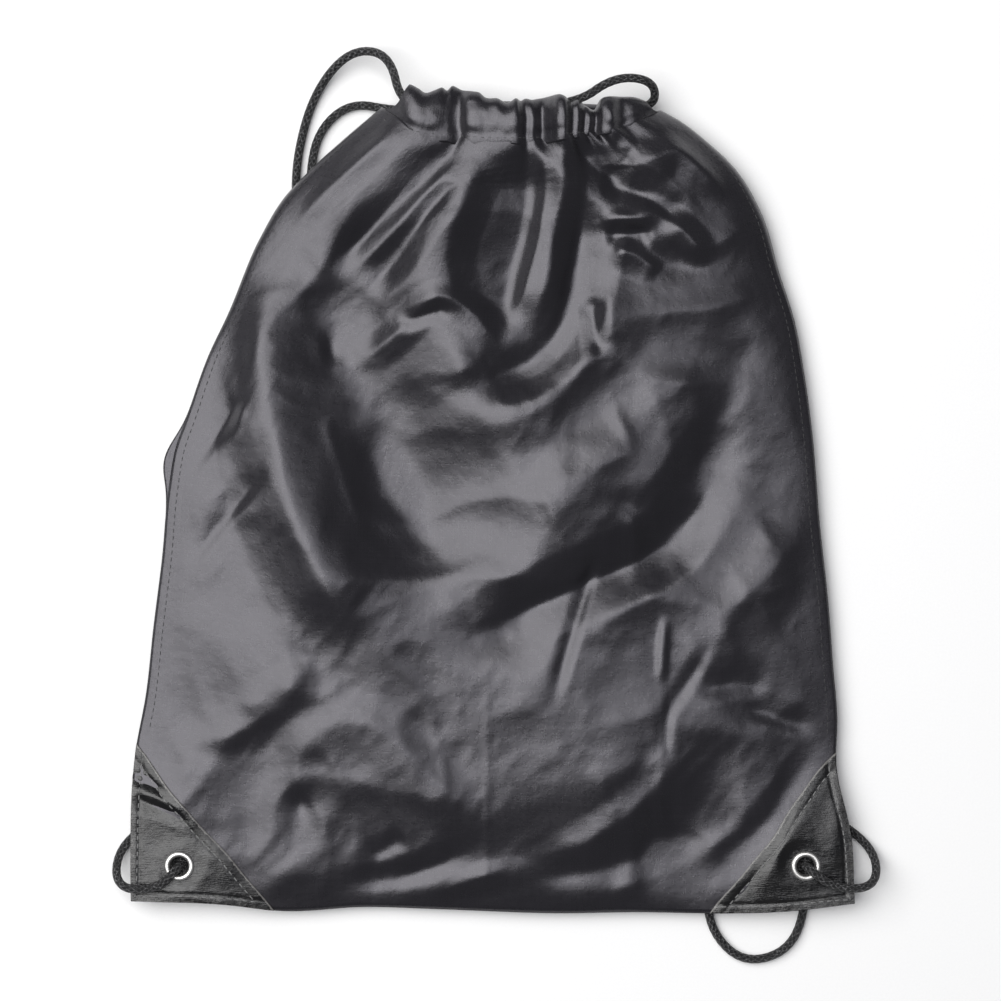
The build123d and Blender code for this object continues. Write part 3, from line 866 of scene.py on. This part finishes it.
def panel_piece(name, surface, node, outward):
    """One panel: a grid of the surface's places, holes at the eyelets, and the cloth's thickness inside
    it."""
    u, v = bag_grid()
    places = surface(u, v).reshape(-1, 3)
    faces = without_eyelets(grid_faces(ROWS, COLUMNS), places)
    if outward < 0:
        faces = faces[:, ::-1]
    uv = np.stack([u.ravel() * CLOTH_WIDE, v.ravel() * CLOTH_TALL], 1)
    piece = new_mesh(name, to_frame(places), faces, NYLON, uv)
    give_thickness(piece, CLOTH)
    sew_on(piece, node, node)
    return piece


PATCH_WIDE, PATCH_TALL = 67.5, 71.0  # along the bottom and up the side
PATCH_DEEP = 47  # from the corner square to the diagonal
PATCH_U, PATCH_V = 67.5 / 339, 0.1815  # the same reaches as shares of the panel


def patch_share(sign, r, c):
    """Panel shares u and v of a place on a corner patch: r of the way from the corner to the diagonal, and
    c of the way round from the bottom to the side. The diagonal waves a little, and on the right it is
    drawn out to stay straight on the curved edge."""
    drawn_out = 0.045 * np.sin(np.pi * c) if sign > 0 else 0
    r = r * (1 + 0.008 * np.sin(9 * c + sign) + 0.004 * np.sin(23 * c) + drawn_out)
    u, v = r * (1 - c) * PATCH_U, r * c * PATCH_V
    return (u, v) if sign < 0 else (1 - u, v)


# Creases of the corner patches, as FRONT_FOLDS: two sharp ones across the left, a long soft rise down the
# right
PATCH_FOLDS = [
    ([(-171, 66), (-161, 62), (-149, 57)], 1.6, 2.6, -0.9),
    ([(-171, 56), (-156, 50), (-140, 44)], 1.8, 3, -1.1),
    ([(-170, 61), (-158, 56), (-147, 51)], 2, 2, 0.5),
    ([(-158, 14), (-140, 8), (-118, 5)], 4, 3, 0.5),
    ([(-135, 40), (-124, 28), (-117, 14)], 4, 4, 0.4),
    ([(146, 64), (137, 36), (124, 6)], 6, 5, 0.8), ([(164, 62), (161, 40), (160, 14)], 3, 4, 0.5),
    ([(128, 30), (120, 16), (112, 5)], 3, 3, -0.4),
]
CREASE_HEIGHT = 1.15
EDGE_GROOVE, EDGE_GROOVE_AT, EDGE_GROOVE_WIDE = 0.28, 4.0, 1.0  # the stitches draw the leatherette in
CUT_GROOVE, CUT_GROOVE_AT = 0.22, 4.5


def patch_creases(x, y):
    """Height of a patch's creases, and of the slow unevenness of the leatherette."""
    creases = sum(fold_height(x, y, *fold) for fold in PATCH_FOLDS)
    return CREASE_HEIGHT * creases + value_noise(x, y, 17, 51) * 0.6 + value_noise(x, y, 7, 52) * 0.04


def border_distance(r, c):
    """Distance of a patch's place from the bag's side or bottom edge, whichever is nearer."""
    return np.minimum(r * (1 - c) * PATCH_WIDE, r * c * PATCH_TALL)


def patch_places(sign, r, c, outward):
    """Places on a corner patch's outer face, its thickness and a little air off the cloth under it."""
    places = (on_front if outward > 0 else on_back)(*patch_share(sign, r, c))
    x, y = places[..., 0], places[..., 1]
    away = eyelet_distance(x, y)
    groove = (EDGE_GROOVE * np.exp(-((border_distance(r, c) - EDGE_GROOVE_AT) / EDGE_GROOVE_WIDE) ** 2)
              + CUT_GROOVE * np.exp(-((1 - r) * PATCH_DEEP - CUT_GROOVE_AT) ** 2))
    free = smooth_step(8.0, 14.0, away) * smooth_step(0.0, 0.12, 1 - r)
    rise = PATCH_RISE + patch_creases(x, y) * free - groove * smooth_step(6.5, 9.0, away)
    places[..., 2] += outward * rise
    return places


def patch_piece(name, sign, outward, node):
    """A leatherette corner: a fan of rows from the bag's corner out to the diagonal."""
    rows, columns = 130, 150
    c, r = np.meshgrid(np.linspace(0, 1, columns), np.linspace(0.004, 1, rows))
    places = patch_places(sign, r, c, outward).reshape(-1, 3)
    faces = without_eyelets(grid_faces(rows, columns), places)
    if sign * outward < 0:
        faces = faces[:, ::-1]
    piece = new_mesh(name, to_frame(places), faces, LEATHERETTE, places[:, :2] + np.array([180.0, 0.0]))
    for attribute, values in (("edge", r), ("border", border_distance(r, c))):
        layer = piece.data.attributes.new(attribute, "FLOAT", "POINT")
        layer.data.foreach_set("value", values.ravel().astype(np.float32))
    give_thickness(piece, LEATHER)
    sew_on(piece, "leatherette", node)
    return piece


def patch_stitches(sign, outward):
    """Rows of stitches on a patch: along the side, along the bottom and along the diagonal."""
    share = np.linspace(0, 1, 600)
    side, bottom = 0.03 + 0.93 * share, 0.05 + 0.91 * share
    return [
        patch_places(sign, side, 1 - 4.0 / (4 + 70 * side), outward),
        patch_places(sign, bottom, 3.0 / (3 + 66 * bottom), outward),
        patch_places(sign, np.full(600, 0.905), 0.05 + 0.9 * share, outward),
    ]


# The closed section of a casing: shares of the way from its stitch line to its rim, and of its depth
CASING_SECTION = [
    (-0.2, 0.05), (-0.08, 0.0), (0.05, -0.02), (0.4, -0.08), (0.62, -0.05), (0.8, 0.06), (0.93, 0.24),
    (1.0, 0.5), (0.93, 0.8), (0.75, 0.96), (0.5, 1.0), (0.25, 1.0), (0.08, 0.9), (-0.04, 0.5),
    (-0.15, 0.17),
]


CASING_LOWEST = 0.5
CASING_SWAY = 1.1


def casing_piece(name, ends, slants, root, rim, top_of, depth, node):
    """A gathered casing: a closed section carried across, from its stitch line over the rim and back
    inside. Its face stands as the gathered cloth does, and its ends slant."""
    columns, ring = 420, 80
    c = np.linspace(0, 1, columns)
    section = curve_through(CASING_SECTION + CASING_SECTION[:1], np.linspace(0, 1, ring, endpoint=False))
    out, deep = section[:, :1], section[:, 1:]
    x = ends[0] + (ends[1] - ends[0]) * c + out * (slants[0] * (1 - c) ** 6 - slants[1] * c ** 6)
    low = height_along(root, x)
    y = low + (height_along(rim, x) - low) * out
    rough = 0.12 * value_noise(x, y, 3.2, 71) + 0.8 * value_noise(x, y, 9.5, 72)
    z = np.maximum(top_of(x) - depth * deep, CASING_LOWEST) + rough * (1 - deep) * smooth_step(0.0, 0.2, out)
    sway = CASING_SWAY * value_noise(x, y, 9, 73) * out
    places = np.stack([x + sway, y, z], -1).reshape(-1, 3)
    start = np.arange(columns - 1)
    last = start + (ring - 1) * columns
    closing = np.stack([last, last + 1, start + 1, start], 1)
    around = np.broadcast_to(np.arange(ring)[:, None] * 0.6, y.shape)
    uv = np.stack([np.broadcast_to(c * CLOTH_WIDE, y.shape).ravel(), around.ravel()], 1)
    piece = new_mesh(name, to_frame(places), np.vstack([grid_faces(ring, columns), closing]), NYLON, uv)
    give_thickness(piece, CLOTH)
    sew_on(piece, "casing", node)
    return piece


# ---- stitching

def stitch_piece(name, rows, length, gap, radius, material, node):
    """Stitches along lines on a surface: a capsule for each, whose ends dip into the cloth. Every row is an
    array of places in millimetres along the line."""
    rings, around = 9, 8
    parts, quads, coordinates, start = [], [], [], 0
    s = np.linspace(-1, 1, rings)
    a = np.linspace(0, 2 * math.pi, around, endpoint=False)
    r = radius * np.sqrt(np.clip(1 - s ** 6, TIP, 1))
    for line in rows:
        d = np.r_[0, np.cumsum(np.linalg.norm(np.diff(line, axis=0), axis=1))]
        first = np.arange(gap, d[-1] - length, length + gap)
        at = first[:, None] + (s + 1) / 2 * length
        centre = np.stack([np.interp(at, d, line[:, k]) for k in range(3)], -1)
        centre[..., 2] += radius * (0.75 - 1.6 * s ** 4)
        along = unit(centre[:, -1] - centre[:, 0])
        side = unit(np.cross(along, (0, 0, 1.0)))
        up = np.cross(side, along)
        ring = np.cos(a)[:, None] * side[:, None, None] + np.sin(a)[:, None] * up[:, None, None]
        i, j, k = np.meshgrid(np.arange(len(first)), np.arange(rings - 1), np.arange(around), indexing="ij")
        base = start + (i * rings + j) * around
        beside = (k + 1) % around
        faces = np.stack([base + k, base + around + k, base + around + beside, base + beside], -1)
        quads.append(faces.reshape(-1, 4))
        parts.append((centre[:, :, None] + r[:, None, None] * ring).reshape(-1, 3))
        coordinates.append(np.stack(np.broadcast_arrays(a / 2, at[..., None]), -1).reshape(-1, 2))
        start += len(first) * rings * around
    piece = new_mesh(name, to_frame(np.vstack(parts)), np.vstack(quads), material, np.vstack(coordinates))
    sew_on(piece, "thread", node)
    return piece


BACK_RIM = [(-52, 377), (-40, 379.5), (-20, 381), (10, 381), (40, 381), (58, 380), (79, 376.5)]
FRONT_CASING_DEPTH, BACK_CASING_DEPTH = 10.0, 8.2
SEAM_STITCH = 5.0  # a side seam's row from the edge


def front_casing_top(x):
    """Height of the front casing's face: that of the front cloth at the stitch line, and a hair more."""
    across = np.linspace(0, 1, 400)
    return np.interp(x, mouth_of(across), on_front(across, np.ones(400))[:, 2]) + 0.12


def back_casing_top(x):
    """Height of the back casing's inner face, lower towards its ends."""
    return 10.6 - 2.2 * np.minimum(((x - 7) / 51) ** 2, 1)


def make_bag():
    """Cloth, leatherette and stitching of the bag."""
    front = panel_piece("front_cloth", on_front, "front_panel", 1)
    back = panel_piece("back_cloth", on_back, "back_panel", -1)
    front_casing = casing_piece("front_casing_cloth", (-50, 77), (11, 6), STITCH_ROW, RIM, front_casing_top,
                                FRONT_CASING_DEPTH, "front_casing")
    back_casing = casing_piece("back_casing_cloth", (-44, 64), (4, 4), BACK_TOP, BACK_RIM, back_casing_top,
                               BACK_CASING_DEPTH, "back_casing")
    share = np.linspace(0, 1, 600)
    for side, sign in (("left", -1), ("right", 1)):
        for face, outward, cloth in (("front", 1, front), ("back", -1, back)):
            patch = patch_piece(f"{side}_{face}_corner", sign, outward, f"{side}_{face}_patch")
            thread = stitch_piece(f"{side}_{face}_corner_stitching", patch_stitches(sign, outward), 2.6, 1.2,
                                  0.3, PATCH_THREAD, f"{side}_{face}_patch_stitching")
        edge = SEAM_STITCH / CLOTH_WIDE
        seam = on_front(np.full(600, edge if sign < 0 else 1 - edge), 0.2 + 0.74 * share)
        stitch_piece(f"{side}_side_stitching", [seam], 2.4, 1.0, 0.16, THREAD, f"{side}_seam_stitching")
    row = on_front(0.12 + 0.62 * share, np.full(600, 0.998))
    stitch_piece("front_casing_thread", [row], 2.4, 1.1, 0.18, THREAD, "front_casing_stitching")
    row = on_back(0.17 + 0.66 * share, np.full(600, 0.985))
    stitch_piece("back_casing_thread", [row], 2.4, 1.1, 0.18, THREAD, "back_casing_stitching")


def finish_eyelets():
    """The pressed metal keeps its shape and gets its plating."""
    for side in ("left", "right"):
        for part in ("eyelet", "eyelet_washer"):
            node = bpy.data.objects[f"{side}_{part}"]
            node.data.materials.clear()
            node.data.materials.append(NICKEL)


def make_studio():
    """Paper floor, a large soft box at the upper left and a dim room."""
    floor = new_mesh("paper_floor", np.array([(-4, -4, 0), (4, -4, 0), (4, 4, 0), (-4, 4, 0)], float),
                     np.array([(0, 1, 2, 3)]), floor_finish())
    floor.location.z = -0.0002
    area_light("window", (-1.02, 0.5, 1.95), (2.3, 2.3), 66.0, (1.0, 0.995, 0.988))
    area_light("skylight", (0.3, 0.1, 2.4), (0.7, 1.8), 9.4, (0.97, 0.97, 1.0))
    world = bpy.data.worlds.new("room")
    world.use_nodes = True
    world.node_tree.nodes["Background"].inputs[0].default_value = (0.8, 0.82, 0.86, 1)
    world.node_tree.nodes["Background"].inputs[1].default_value = 0.16
    bpy.context.scene.world = world
    bpy.context.scene.view_settings.view_transform = "Standard"


make_cords()
make_bag()
finish_eyelets()
make_studio()
